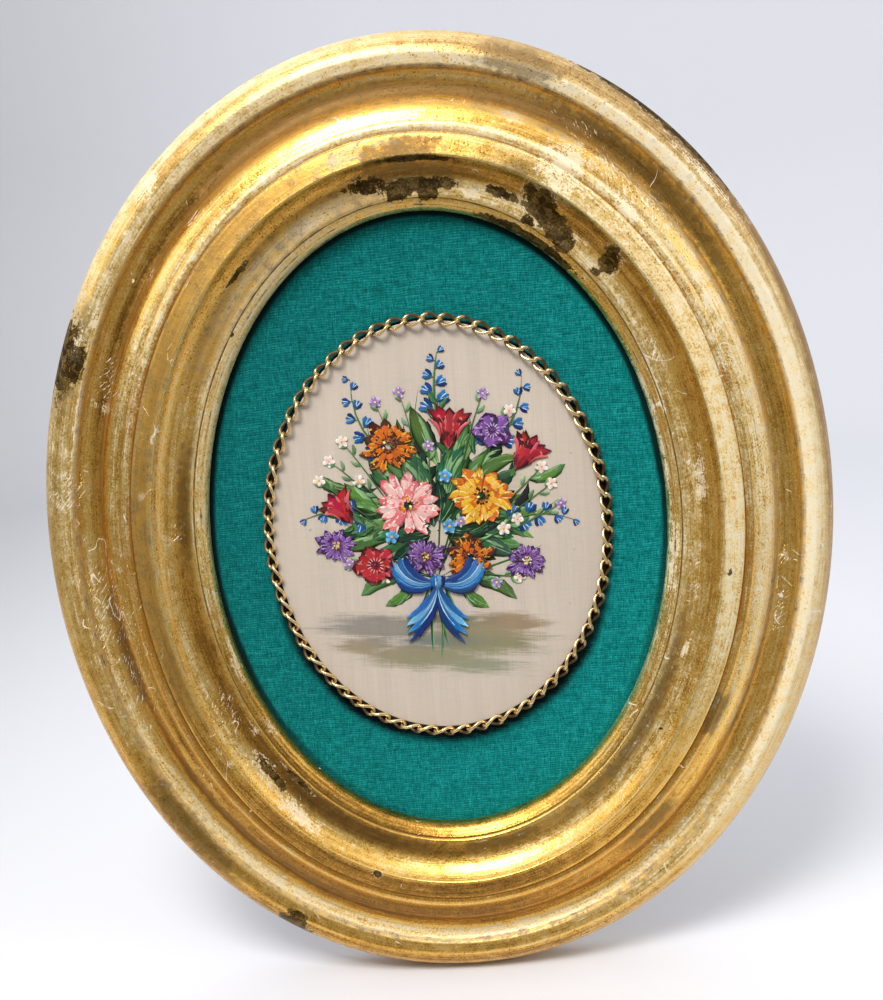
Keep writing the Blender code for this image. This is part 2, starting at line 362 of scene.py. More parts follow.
# Wear: how sharp-edged each kind is, then its patches as (turn from, turn to, out from, out to), in
# degrees and millimetres, with a lean where a patch slants
WEAR = {
    "flaked": (2.5, (
        (54, 62, 3.2, 9.4, 0.5), (57, 66, 5, 12.5, 0.7), (61, 67.5, 9, 14.4, 0.6), (63, 66, 3.4, 6),
        (50, 74, 0, 2.3), (46, 49.5, 7.5, 14, 0.2), (47, 49, 4.6, 6.2), (69, 75, 7.2, 10.2, 0.3),
        (80, 92, 6.4, 9.4), (84, 89, 3, 6.8), (89, 96, 3.2, 9, -0.4), (95, 102, 6.2, 11.2, 0.4),
        (82, 96, 13.6, 15), (126, 134, 10.1, 11.3), (122, 131, 5.9, 6.4), (139, 140, 2.7, 3.7),
        (102.6, 104.4, 9.3, 10.3), (147.5, 158, 44.3, 51), (150, 156, 40.8, 45, 0.3), (242, 247, 44, 51),
        (243, 245.5, 41.5, 45), (221, 229, 8.2, 10.8, 0.8), (226, 233, 4.4, 6.2, 0.6),
        (321, 321.7, 10.9, 11.9), (44, 68, 48, 52), (351, 352, 16.2, 17.4), (252, 254, 15, 17.2))),
    "dulled": (3, (
        (66, 74, 15, 19), (84, 97, 13.8, 20.6), (62, 118, 31.6, 35.2), (70, 80.5, 39.7, 48.5),
        (44, 68, 47, 51), (146, 160, 42, 50.5), (222, 269, 4.5, 9.6), (300, 312, 24, 29),
        (324, 332, 21.5, 26), (214, 233, 38.8, 46.8), (95, 98.5, 12.6, 21), (38, 72, 32.6, 38.4),
        (80, 102, 4.4, 14), (270, 290, 4.8, 8), (296, 345, 4.6, 8.6), (160, 182, 4.6, 8.4),
        (206, 270, 28.6, 33.4), (186, 206, 29, 34.5))),
    "pale": (2, (
        (97, 107, 15.4, 20.6), (75, 80, 4.9, 7.3), (71, 77, 27.5, 31), (60, 68, 15, 31),
        (136, 138.5, 31, 33.2), (145.5, 148.5, 40, 43), (149, 153, 42, 46), (157, 159, 30, 36),
        (124, 130, 44, 48), (155, 168, 39.3, 40.7), (169, 171, 16.2, 19), (198, 208, 0.4, 2.2),
        (214, 220, 0.4, 2.4), (214, 218, 4, 7), (217, 219, 15.2, 17.8), (228, 240, 11, 14.6),
        (335, 338, 8.1, 9.9), (346, 360, 0.2, 2.4), (0, 40, 0, 1.2), (2, 12, 8.4, 11.4), (20, 34, 3.2, 4.4),
        (52, 57, 8.6, 9.8), (31, 38, 26, 29), (49, 54, 21.9, 25.3), (92, 100, 18, 21), (105, 119, 4.6, 8.6),
        (56, 58, 3.8, 5.2), (40, 56, 45, 47.5))),
    "matted": (6, (
        (84, 206, 15.2, 21.2), (95, 150, 4, 11), (64, 122, 28.4, 36), (64, 122, 31, 37))),
    "scarred": (3, (
        (178, 206, 23, 45.5), (166, 175, 36, 48), (192, 199, 18, 20.6), (213, 217, 15.5, 18.5),
        (205, 214, 5.5, 13.8), (298, 312, 29.5, 38.5), (345, 357, 5.2, 10.5), (339, 341, 8, 11),
        (341, 350, 33.5, 37.6), (351, 356, 31.8, 37.4), (60, 72, 33, 37.4), (22, 40, 20.5, 28.5),
        (40, 66, 22, 34), (305, 330, 40.2, 44.5), (2, 12, 4.5, 11), (32, 44, 43, 47), (220, 236, 8.5, 14.6),
        (150, 158, 30, 38), (174, 180, 6.5, 9.8), (26, 35, 5, 9))),
    "flecked": (3, (
        (52, 100, 40, 49), (40, 62, 43, 49), (55, 90, 15, 21), (38, 60, 15.5, 30), (318, 360, 22.5, 28),
        (0, 16, 22.5, 30.5), (280, 330, 3, 8), (70, 100, 30, 39.5), (100, 150, 4, 14), (214, 236, 40, 49),
        (270, 300, 42, 48), (205, 225, 5, 14)))}


def worn(sharpness, patches):
    """The strongest of several rounded patches: 1 at a patch's middle, a half on its outline, then 0."""
    field = 0
    for low, high, near, far, *lean in patches:
        from_middle = out * 1000 - (near + far) / 2
        middle = (low + high) / 2 + (lean[0] * from_middle if lean else 0)
        sway = (np.degrees(turn) - middle + 180) % 360 - 180
        off = np.abs(sway / ((high - low) / 2)) ** sharpness + np.abs(2 * from_middle / (far
            - near)) ** sharpness
        field = np.maximum(field, np.exp2(-off))
    return field * (1 - bare)


wear = {name: worn(*kind) for name, kind in WEAR.items()}
for corner in (31.7, 39.5):
    wear["matted"] = np.maximum(wear["matted"], np.exp(-((out * 1000 - corner) / 0.9) ** 2) * (1 - bare))

# The members' tones: (out from, how rubbed, how much more at one side and the turn of that side, how much
# more at two opposite sides and the turn of one of them, how orange or, under 0, how pale).
# Rubbed runs from 0, deep brown with dirt, over 0.5, sound gold, to 1, worn to pale. It is partly painted
# light: the one-side and two-side terms make each member lighter on its lit side and darker on its shaded
# side.
TONES = ((0, 0.56, 0.16, 95, 0.18, 157, 0.1), (4.4, 0.56, 0.25, 58, 0.11, 124, 0.1),
    (9.5, 0.51, 0.13, 247, 0.07, 153, 0.1), (15, 0.51, 0.28, 38, 0.2, 6, -0.1),
    (21.2, 0.61, 0.2, 84, 0.04, 86, 0.9), (24.8, 0.48, 0.24, 61, 0.22, 172, 0.15),
    (29, 0.52, 0.26, 22, 0.11, 1, 0.05), (32, 0.33, 0.13, 289, 0.22, 9, 0),
    (35.6, 0.65, 0.17, 245, 0.11, 80, 0), (39.7, 0.785, 0.35, 42, 0.12, 9, -0.3),
    (43.5, 0.445, 0.07, 20, 0.21, 172, -0.5), (46.5, 0.45, 0.14, 150, 0.19, 130, -0.55))
edges = np.array([row[0] for row in TONES[1:]])
weights = -np.diff(1 / (1 + np.exp(-(out[:, None] * 1000 - edges) / 0.3)), prepend=1, append=0)
# Painted light in the side terms: the rubbed level is raised where light falls and lowered on shaded sides
rubbed_and_lit = sum(weight * (level + more * np.cos(turn - np.radians(side))
    + both * np.cos(2 * (turn - np.radians(pair)))) for weight,
    (_, level, more, side, both, pair, _) in zip(weights.T, TONES))
# Orange tint: strongest in the corner at the foot of the ridge, about 22 mm out, where it is painted warm
# reflection of the gold in its own hollow. Under 0 the tint turns paler instead, more so toward the upper
# right: partly worn leaf and partly painted light.
orange = weights @ np.array([row[6] for row in TONES])
orange = np.where(orange < 0, orange * (0.6 + 0.4 * np.cos(turn - 0.6)), orange)
orange = orange + np.exp(-((out * 1000 - 22.1) / 1) ** 2) * (0.6 - 0.4 * np.cos(2 * turn - 3.3))

# How far each point of the section lies in a hollow (over 0) or on a ridge (under 0)
facing = np.roll(fine_section, -1, 0) - np.roll(fine_section, 1, 0)
facing = np.stack([-facing[:, 1], facing[:, 0]], 1) / np.linalg.norm(facing, axis=1)[:, None]
depth = ((eased(section, HOLLOW_REACH)[0] - fine_section) * facing).sum(1)[kept] * 1000
seam = np.zeros_like(out)
formed = height.copy()
for middle, half, cut in GROOVES:
    ditch = np.exp(-((out - middle) / half) ** 2) * (height > 0.0098)
    formed -= ditch * cut
    seam = np.maximum(seam, ditch * min(cut / 0.00026, 1))

# Hand finishing leaves the members very slightly uneven; flaked patches lie lower than the leaf
uneven = sum(rng.uniform(0.4, 1) * np.cos(count * turn + rng.uniform(0, 6.3) + out * rng.uniform(0, 300))
    for count in (3, 7, 13, 22, 37, 58))
formed = formed - UNEVENNESS * (uneven - uneven.min()) * (1 - bare) * (formed > 0.011)
formed -= FLAKE_DEPTH * np.clip(wear["flaked"] * 2.2 - 0.6, 0, 1) * (1 - bare)

gilding, place, shader = new_finish("worn_gold_leaf")
read = place.read
lay = read("lay", "Vector")
cloudy = place.grain(40, roughness=0.6) - 0.5
mottle = place.grain(260, detail=4, roughness=0.7) - 0.5
crumb = place.grain(1700, roughness=0.6) - 0.5
bands = lay.grain(1, (16, 16, 700), roughness=0.6) - 0.5
streak = lay.grain(1, (75, 75, 3200), detail=3, roughness=0.6) - 0.5
dash = read("slant", "Vector").grain(1, (330, 1900, 1), detail=3, roughness=0.7)
cells = place.node("TexVoronoi", None, {"Vector": place, "Scale": 520}, 1).part(0) - 0.5
ragged = cells * 0.34 + mottle * 1.25 + crumb * 0.45
flaked_here = read("flaked")
flake_mask = (flaked_here + ragged).rise(0.47, 0.52)
chalk_mask = ((flaked_here + ragged).rise(0.36, 0.44) - flake_mask) * (crumb + cloudy).rise(-0.02, 0.06)
dull_mask = (read("dulled") + ragged * 1.1 + bands * 0.9 + streak * 0.5).rise(0.22, 0.95)
pale_mask = (read("pale") * 0.62 + (read("rubbed_and_lit") - 0.55) * 0.25 + mottle * 1.3 + crumb * 0.9
    + streak * 0.9).rise(0.3, 0.56)
scar_mask = (dash + read("scarred") * 0.17 + mottle * 0.25 + cloudy * 0.2).rise(0.74, 0.775)
curl = place.node("TexNoise", None, {"Vector": place, "Scale": 75, "Detail": 1, "Distortion": 0.6})
gap = place.grain(150)
scratch_mask = ((0.0065 - (curl - 0.5).sum("ABSOLUTE")).rise(0,
    0.005) * (gap + read("scarred") * 0.13 + cloudy * 0.3).rise(0.62, 0.66))
nick_mask = scar_mask.sum("MAXIMUM", scratch_mask)
pit_mask = (crumb * -1 + read("flecked") * 0.1 - mottle * 0.2).rise(0.2, 0.26)
dirt_mask = (read("hollow") * 2.2 + mottle * 0.8 + streak * 0.5).rise(0.1, 0.95)
seam_mask = (read("seam") + mottle * 1.5 + streak * 0.6).rise(0.3, 0.85)
matt_mask = (read("matted") + ragged * 0.5).rise(0.3, 0.7)
# Paler where the orange value is under 0: partly worn leaf and partly painted light
paler_mask = (read("orange") * -1 + mottle * 0.3).rise(0, 0.6)
gleam = (crumb + cells * 0.25).rise(0.16, 0.24)

level = (read("rubbed_and_lit") + cloudy * 0.26 + mottle * 0.5 + bands * 0.46 + streak * 0.66 + crumb * 0.54
    + read("ridge") * 0.22)
colour = level.ramp((0, (0.15, 0.075, 0.015)), (0.25, (0.42, 0.208, 0.036)), (0.42, (0.75, 0.418, 0.082)),
    (0.56, (0.96, 0.59, 0.135)), (0.74, (0.98, 0.725, 0.285)), (1, (0.98, 0.83, 0.51)))
# The pale worn tone follows the rubbed level, so it is partly worn leaf and partly painted light
pale_worn_and_lit = (read("rubbed_and_lit") + mottle * 0.35 + streak * 0.5 + crumb * 0.4 + bands * 0.3).rise(0.54, 0.92)
pale_level = (mottle * 1.2 + streak * 1.2 + crumb * 1.5 + bands * 0.5 + 0.52
    + (read("rubbed_and_lit") - 0.8) * 0.5)
pale_tone = pale_level.ramp((0.2, (0.64, 0.33, 0.06)), (0.42, (0.97, 0.66, 0.23)), (0.62, (1, 0.81, 0.42)),
    (0.84, (0.98, 0.9, 0.7)))
paler_level = read("rubbed_and_lit") + mottle * 0.5 + streak * 0.6 + crumb * 0.35 + bands * 0.3
paler_tone = paler_level.ramp((0.2, (0.34, 0.205, 0.075)), (0.45, (0.62, 0.455, 0.225)),
    (0.75, (0.94, 0.77, 0.47)), (1, (0.98, 0.89, 0.66)))
ground = (cells * 0.5 + mottle + crumb + 0.5).ramp((0.35, (0.045, 0.026, 0.006)),
    (0.75, (0.2, 0.125, 0.038)))
wood = (place.grain(1, (420, 300, 16), detail=4, roughness=0.6) * 0.55
    + place.grain(1, (2600, 1800, 90)) * 0.3 + place.grain(26, detail=3) * 0.35 - 0.1)
bare_mask = read("bare")
for tint, mask in (
        (pale_tone, pale_worn_and_lit * 0.92),
        ((0.78, 0.37, 0.06), read("orange") * (level * -1 + cloudy).rise(-0.9, -0.4) * 0.75),
        (paler_tone, paler_mask * 0.75), ((0.135, 0.08, 0.027), dirt_mask * 0.82),
        ((0.17, 0.098, 0.03), dull_mask * 0.72), ((0.96, 0.85, 0.62), pale_mask * 0.7),
        ((0.93, 0.87, 0.72), nick_mask * 0.9), ((0.1, 0.055, 0.015), pit_mask * 0.6),
        ((0.26, 0.15, 0.042), seam_mask * 0.95), ((0.8, 0.68, 0.46), chalk_mask * 0.85),
        ((0.26, 0.15, 0.046),
         matt_mask * (mottle * 1.3 + streak * 0.9 + crumb * 0.9 + 0.44).rise(0, 0.9) * 0.95),
        (ground, flake_mask * 0.97), ((0.46, 0.3, 0.1), flake_mask * gleam * 0.8),
        (wood.ramp((0.34, (0.19, 0.105, 0.048)), (0.64, (0.42, 0.275, 0.15))), bare_mask)):
    colour = colour.tinted(tint, mask)
powdery = (0.16 + pale_mask * 0.4 + nick_mask * 0.8 + chalk_mask * 0.7 + pale_worn_and_lit * 0.62
    + paler_mask * 0.42)
metal = (1 - powdery - matt_mask * 0.1 + flake_mask * 0.35 + seam_mask).rise(0, 1) * (1 - bare_mask)
rough = (0.27 + 0.2 * mottle + 0.2 * crumb + 0.14 * powdery + 0.12 * dull_mask + 0.12 * dirt_mask
    + 0.2 * matt_mask + 0.2 * flake_mask + 0.25 * seam_mask + 0.25 * bare_mask)
relief = (mottle * 0.17 + crumb * 0.03 + streak * 0.04 - flake_mask * 0.12 + nick_mask * 0.04
    - pit_mask * 0.05)
coat(shader, colour, rough.sum("MAXIMUM", 0.12), 0.5, relief.bump(1, 0.0008), {"Metallic": metal})
frame_piece = new_piece("gilt_moulding", on_oval(turn, out, formed), [quad_grid(AROUND, len(kept), True)],
    gilding)
for name, values in {**wear, "hollow": np.clip(depth, 0, 1), "ridge": np.clip(-depth * 3, 0, 1),
        "seam": seam, "bare": bare, "rubbed_and_lit": rubbed_and_lit, "orange": orange}.items():
    mark(frame_piece, name, values + 0 * turn)
# Where a point lies along the lay of the brushed gesso, and the same turned by the slant of the scratches
LAY_RADIUS, SLANT = 0.12, np.radians(38)
along = LAY_RADIUS * turn
mark(frame_piece, "lay", np.stack(np.broadcast_arrays(LAY_RADIUS * np.cos(turn), LAY_RADIUS * np.sin(turn),
    run), -1))
mark(frame_piece, "slant", np.stack(np.broadcast_arrays(along * np.cos(SLANT) + run * np.sin(SLANT),
    run * np.cos(SLANT) - along * np.sin(SLANT), 0), -1))
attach(frame_piece, "root")
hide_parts("gilt_frame")

# ---- Teal mat ----
# An oval board covered in ribbed teal cloth. The cloth is stretched over the front, glued, and turned
# over the edge on to the back. The board drops into the frame's rebate from behind.
mat_low, mat_high = (np.array(corner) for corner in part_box("fabric_mat"))
MAT_HALVES = np.array([mat_high[0], mat_high[2] - MIDDLE_HEIGHT])
MAT_FRONT, MAT_BACK = -mat_low[1], -mat_high[1]
CARD_HALVES = np.array([panel_high[0], panel_high[2] - MIDDLE_HEIGHT])
CLOTH_THICK = 0.00025
CLOTH_TURN_IN = 0.012
CLOTH_GAP = 0.00003
MAT_EDGE_ROUND = 0.0005
BOARD_SHOULDER = 0.0006
CLOTH_RINGS, CLOTH_ROUND, BOARD_ROUND = 40, 240, 160
TEAL, TEAL_LIGHT, TEAL_DARK = (0.001, 0.205, 0.198), (0.02, 0.4, 0.385), (0, 0.08, 0.08)
RIB_PITCH = 0.00072


def oval_shell(rings, halves, around):
    """Points of rings round an oval. Each ring is (share of the oval, out from it, height over the wall)."""
    return np.stack([on_oval(turns(around), out, height, halves * share) for share, out, height in rings])


def cover_rings(front, back, thick, edge_round, turn_in, steps):
    """Rings of a cloth over a board: out over its front, round the edge, in under it, and home inside."""
    bends = np.linspace(0, np.pi / 2, 5)
    corner = [(1, edge_round * (np.sin(a) - 1), front + edge_round * (np.cos(a) - 1)) for a in bends]
    foot = [(1, 0, back), (1, -turn_in, back)] if turn_in else [(1, 0, back)]
    inner = [(1, out - thick, height + (thick if turn_in else 0)) for _, out, height in foot[::-1]]
    inner += [(1, out - thick, height - thick) for _, out, height in corner[::-1]]
    shares = np.linspace(0.004, 0.99, steps)
    return ([(share, -share * edge_round, front) for share in shares] + corner + foot + inner
        + [(share, -share * (edge_round + thick), front - thick) for share in np.linspace(0.99, 0.004, 12)])


def core_rings(front, shoulder, back, front_in, side_in, back_in, rim):
    """Rings of a bare board: out over the front, down the side from its shoulder, and home over the back."""
    shares = (0.01, 0.5, rim)
    side = [(1, -side_in, shoulder), (1, -side_in, back)]
    return ([(share, -share * front_in, front) for share in shares] + side
        + [(share, -back_in, back) for share in shares[::-1]])


def shell_piece(name, points, material):
    """A piece from rings of points, with a face that closes each end."""
    rings, around = points.shape[:2]
    ends = [np.arange(around)[None, ::-1], ((rings - 1) * around + np.arange(around))[None, :]]
    return new_piece(name, points, [quad_grid(rings, around), *ends], material)


def past_oval(place, halves):
    """How far a point lies outside an oval of half widths a and b, and how high up it the point is.

    With q = sqrt((x/a)^2 + (z/b)^2), the distance is (q - 1) q / sqrt((x/a^2)^2 + (z/b^2)^2), and the
    height runs from -1 at the foot to 1 at the top.
    """
    share = (1 / halves[0], 0, 1 / halves[1])
    centred = place.sum("SUBTRACT", (0, 0, MIDDLE_HEIGHT), kind="VectorMath")
    flat = centred.sum("MULTIPLY", share, kind="VectorMath")
    steep = flat.sum("MULTIPLY", share, kind="VectorMath")
    q = flat.sum("LENGTH", kind="VectorMath", out="Value")
    slope = steep.sum("LENGTH", kind="VectorMath", out="Value")
    return ((q - 1) * q).sum("DIVIDE", slope), flat.part(2).sum("DIVIDE", q)


cloth_finish, place, shader = new_finish("ribbed_teal_cloth")
sideways, upward = place.part(0), place.part(2)
drift = place.grain(60) - 0.5
slub = place.grain(1, (330, 500, 2600), detail=3, roughness=0.65) - 0.5
yarn = place.grain(1, (2900, 500, 520)) - 0.5
nap = place.grain(2300, roughness=0.7) - 0.5
cloud = place.grain(34) - 0.5
ribs = ((upward + drift * 0.003) * (2 * np.pi / RIB_PITCH) + slub * 5).sum("SINE") * 0.5
thread = ribs * 0.2 + slub * 0.85 + yarn * 0.75 + nap * 0.8 + 0.5
# Painted light: the cloth is painted lighter toward the lower right and darker toward the upper left, as the
# light falls across the opening
light_slope = sideways * 2.3 - (upward - MIDDLE_HEIGHT) * 1.5
colour = thread.ramp((0.18, TEAL_DARK), (0.52, TEAL), (0.9, TEAL_LIGHT)).scaled(0.99 + light_slope + cloud * 0.18)
colour = colour.tinted((0.06, 0.36, 0.34), (nap + yarn * 0.6 + slub * 0.5).rise(0.22, 0.34) * 0.35)
# Painted shadow: the cloth is darkened beside the card, mostly below it, where the card and chain cast their
# shadow, and painted shade darkens it along the frame's sight edge, under the lip
beside_card, high = past_oval(place, CARD_HALVES)
beside_frame, high_up = past_oval(place, SIGHT_HALVES)
low = (high * -1).rise(-0.15, 0.75)
# Painted shadow of the card and chain, widest below them
chain_shadow = (1.25 - beside_card.sum("DIVIDE", low * 0.0032 + 0.0016) + (nap + slub) * 0.9 + cloud).rise(0, 0.55)
# Painted shade under the frame's lip, all along the sight edge and fading out toward the bottom
lip_shade = ((1 + beside_frame * 430 + (nap + slub) * 0.4 + cloud * 0.6).rise(0, 0.6)
    * (high_up + 1.2 - sideways * 4).rise(0, 1.1))
colour = colour.tinted((0, 0.008, 0.009), (chain_shadow * (low * 0.6 + 0.4)).sum("MAXIMUM", lip_shade * 0.95))
coat(shader, colour, 0.9, 0.12, thread.bump(0.8, 0.0001), {"Sheen Weight": 0.08, "Sheen Roughness": 0.4})
rings = cover_rings(MAT_FRONT, MAT_BACK, CLOTH_THICK, MAT_EDGE_ROUND, CLOTH_TURN_IN, CLOTH_RINGS)
cloth = shell_piece("mat_cloth", oval_shell(rings, MAT_HALVES, CLOTH_ROUND), cloth_finish)
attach(cloth, "root")
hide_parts("fabric_mat")
cloth_cut = 2 * (MAT_HALVES + MAT_FRONT - MAT_BACK + CLOTH_TURN_IN)

board_finish, place, shader = new_finish("grey_mount_board")
fibre = place.grain(700, detail=4, roughness=0.7)
coat(shader, fibre.ramp((0.35, (0.3, 0.24, 0.16)), (0.65, (0.4, 0.33, 0.24))), 0.92, 0.2,
    fibre.bump(0.3, 0.0001), {})
rings = core_rings(MAT_FRONT - CLOTH_THICK - CLOTH_GAP, MAT_FRONT - BOARD_SHOULDER,
    MAT_BACK + CLOTH_THICK + CLOTH_GAP, 0.0003, 0.0003, 0.0004, 0.99)
mat_board = shell_piece("mat_board", oval_shell(rings, MAT_HALVES, BOARD_ROUND), board_finish)
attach(mat_board, "root")
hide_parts("fabric_mat")
np.pi / 4 * cloth_cut[0] * cloth_cut[1]

# ---- Painted silk oval ----
# A thin oval card covered in beige silk, glued to the middle of the mat. The silk carries a soft wash
# and, over it, a tied posy in thick opaque paint: daisies, tulips, asters, anemones and bluebells.
CARD_FRONT, CARD_BACK = -panel_low[1], -panel_high[1]
SILK_THICK = 0.00012
SILK_GAP = 0.00002
SILK_EDGE_ROUND = 0.0003
CARD_SHOULDER = 0.0005
SILK_RINGS, SILK_ROUND = 110, 300
POSY_LEAN = np.radians(4.5)


def tone(red, green, blue):
    """A paint's colour from its mixing card, 0 to 255, as the light it sends back."""
    share = np.array([red, green, blue]) / 255
    return np.where(share <= 0.04045, share / 12.92, ((share + 0.055) / 1.055) ** 2.4)


def leaned(x, z, lean):
    """A place in the picture's plane, turned clockwise by the lean."""
    return x * np.cos(lean) + z * np.sin(lean), z * np.cos(lean) - x * np.sin(lean)


rings = cover_rings(CARD_FRONT, CARD_BACK, SILK_THICK, SILK_EDGE_ROUND, 0, SILK_RINGS)
silk_points = oval_shell(rings, CARD_HALVES, SILK_ROUND)
across, rise = leaned(silk_points[..., 0] * 1000, (silk_points[..., 2] - MIDDLE_HEIGHT) * 1000, -POSY_LEAN)

# Patches of wash: middle across and up, half width and half height in millimetres, colour, strength
WASH = ((-17, -31, 17, 4.4, tone(146, 140, 134), 1), (12, -34, 21, 6, tone(138, 136, 100), 1),
    (22, -29, 12, 3.6, tone(164, 136, 108), 0.95), (-5, -40, 19, 4.4, tone(148, 142, 112), 0.95),
    (-22, -37, 11, 3.2, tone(160, 142, 118), 0.85), (13, -43, 14, 3, tone(146, 152, 128), 0.8),
    (-2, -35, 13, 1.7, tone(92, 112, 124), 0.95), (3, -28, 13, 1.7, tone(104, 106, 84), 1),
    (-3, 8, 27, 22, tone(196, 188, 160), 0.5), (-24, 22, 9, 12, tone(190, 190, 166), 0.42),
    (23, 18, 10, 12, tone(196, 186, 156), 0.42))
bare_silk = tone(210, 197, 182)
silk_colour = np.ones((*across.shape, 3)) * bare_silk
silk_cover = np.zeros(across.shape)
for x, z, wide, high, wash, strength in WASH:
    cover = np.exp(-((across - x) / wide) ** 2 - ((rise - z) / high) ** 2) * strength
    share = (cover / np.maximum(silk_cover + cover, 1e-6))[..., None]
    silk_colour = silk_colour * (1 - share) + wash * share
    silk_cover = np.maximum(silk_cover, cover)
silk_finish, place, shader = new_finish("painted_silk")
brushed_way = place.read("brush_way", "Vector")
warp = place.grain(1, (2400, 400, 45), detail=3, roughness=0.6) - 0.5
weft = place.grain(1, (260, 400, 3000)) - 0.5
band = place.grain(1, (230, 100, 7), detail=3, roughness=0.6) - 0.5
cloud = place.grain(30, detail=3) - 0.5
dust = place.grain(420, detail=1)
brushed = brushed_way.grain(1, (45, 1, 520), detail=4, roughness=0.65) - 0.5
hairs = brushed_way.grain(1, (140, 1, 2300), roughness=0.6) - 0.5
wash_mask = (place.read("silk_cover") + brushed * 1.2 + hairs * 0.6 + warp * 0.4).rise(0.16, 0.72)
silk_tone = (wash_mask * 0.95).between(bare_silk, place.read("silk_colour", "Vector"))
silk_tone = silk_tone.scaled(1.035 + 0.2 * warp + 0.12 * weft + 0.22 * band + 0.1 * cloud)
silk_tone = silk_tone.tinted((0.3, 0.24, 0.18), dust.rise(0.78, 0.82) * 0.5)
coat(shader, silk_tone, 0.55 + 0.15 * warp, 0.3, (warp * 0.6 + weft * 0.4).bump(0.3, 0.00006),
    {"Sheen Weight": 0.2})
silk = shell_piece("painted_silk", silk_points, silk_finish)
mark(silk, "silk_colour", silk_colour)
mark(silk, "silk_cover", silk_cover)
mark(silk, "brush_way", np.stack([across, 0 * across, rise], -1) / 1000)
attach(silk, "root")
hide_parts("silk_panel")
silk_cut = 2 * (CARD_HALVES + CARD_FRONT - CARD_BACK)

rings = core_rings(CARD_FRONT - SILK_THICK - SILK_GAP, CARD_FRONT - CARD_SHOULDER, CARD_BACK, 0.0002,
    0.00016, 0.0002, 0.985)
card = shell_piece("silk_card", oval_shell(rings, CARD_HALVES, BOARD_ROUND), board_finish)
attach(card, "root")
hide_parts("silk_panel")
np.pi / 4 * silk_cut[0] * silk_cut[1]

# The posy's brush strokes. A stroke starts at x, z, in millimetres from the card's middle, and runs its
# length along its way, in degrees. It is widest toward its tip where it is full, and lies on the paint
# under it by its lift. Its colour runs from near to far.
strokes = []
lift = [0]
rng = np.random.default_rng(29)
uniform, normal = rng.uniform, rng.normal


def dab(x, z, way, length, width, bend, full, over, near, far=None):
    strokes.append((x, z, way, length, width, bend, full, lift[0] + over, *near,
        *(near if far is None else far)))


def shaken(colour, amount=0.1):
    return np.clip(np.array(colour) * (1 + normal(0, amount)) + normal(0, 0.012, 3), 0.004, 1)


def ahead(x, z, way, forward, aside=0):
    """The place some way forward along a heading, and aside to its left."""
    c, s = np.cos(np.radians(way)), np.sin(np.radians(way))
    return x + forward * c - aside * s, z + forward * s + aside * c


GREEN, MOSS, MINT, DEEP = tone(52, 108, 66), tone(88, 132, 62), tone(146, 186, 132), tone(22, 54, 38)
YELLOW, BUTTER, ORANGE, UMBER = tone(238, 184, 56), tone(252, 232, 158), tone(210, 108, 28), tone(84, 40, 18)
RED, ROSE, WINE = tone(178, 38, 50), tone(228, 118, 122), tone(88, 16, 36)
PURPLE, LILAC, PLUM = tone(130, 88, 160), tone(192, 164, 214), tone(70, 38, 92)
BLUE, SKY, NAVY, ICE = tone(46, 122, 190), tone(112, 182, 224), tone(20, 58, 120), tone(214, 236, 246)
CREAM, BLUSH, INK = tone(252, 246, 230), tone(240, 190, 184), tone(36, 34, 40)


def leaf(x, z, way, length, width, bend, dark, light):
    """A leaf: its dark body, a lighter half, a few streaks along it, a pale rib, and a dark edge."""
    lift[0] += 0.002
    dab(x, z, way, length, width, bend, 0.45, 0, shaken(DEEP, 0.2), shaken(dark, 0.15))
    dab(*ahead(x, z, way, 0.4), way, length * 0.95, width * 0.86, bend, 0.42, 0.004, shaken(dark),
        shaken(dark, 0.2))
    upper = 1 if uniform() < 0.6 else -1
    dab(*ahead(x, z, way, 1, upper * width * 0.16), way, length * 0.82, width * 0.4, bend, 0.5, 0.009,
        shaken(dark), shaken(light, 0.15))
    for step in range(4):
        off = uniform(-0.3, 0.3)
        begin = uniform(0.1, 0.5)
        spot = ahead(x, z, way, length * begin, width * off + 4 * bend * length * begin * (1 - begin))
        slope = way + np.degrees(np.arctan(4 * bend * (1 - 2 * begin))) + off * 12
        near, far = (light, MINT) if off * upper > 0 else (dark, DEEP)
        dab(*spot, slope, length * uniform(0.25, 0.4), width * 0.13, bend, 0.5, 0.013 + 0.002 * step,
            shaken(near, 0.2), shaken(far, 0.2))
    dab(x, z, way, length * 0.93, width * 0.09, bend, 0.3, 0.02, shaken(MINT), shaken(light, 0.15))


def petal(x, z, way, length, width, bend, paints, full):
    """One petal: a dark edge stroke, its body, two streaks of light, a dark root and a touch at the tip."""
    dark, body, light = paints
    lift[0] += 0.0012
    dab(x, z, way, length, width, bend, full, 0, shaken(dark, 0.15), shaken(dark, 0.15))
    dab(*ahead(x, z, way, 0.02 * length), way + normal(0, 1.5), length * 0.95, width * 0.86, bend, full,
        0.004, shaken(body), shaken(body, 0.08))
    for off in (-0.2, 0.18):
        dab(*ahead(x, z, way, 0.3 * length, off * width * 0.8), way + off * 22, length * uniform(0.45, 0.62),
            width * 0.26, bend, 0.6, 0.01, shaken(body), shaken(light, 0.06))
    dab(*ahead(x, z, way, 0.05 * length), way, length * 0.42, width * 0.2, bend, 0.3, 0.013,
        shaken(dark, 0.2), shaken(body))
    if uniform() < 0.6:
        dab(*ahead(x, z, way, 0.74 * length, uniform(-0.2, 0.2) * width), way + 78, width * 0.34,
            length * 0.08, 0, 0.5, 0.016, shaken(light, 0.05), shaken(light, 0.05))


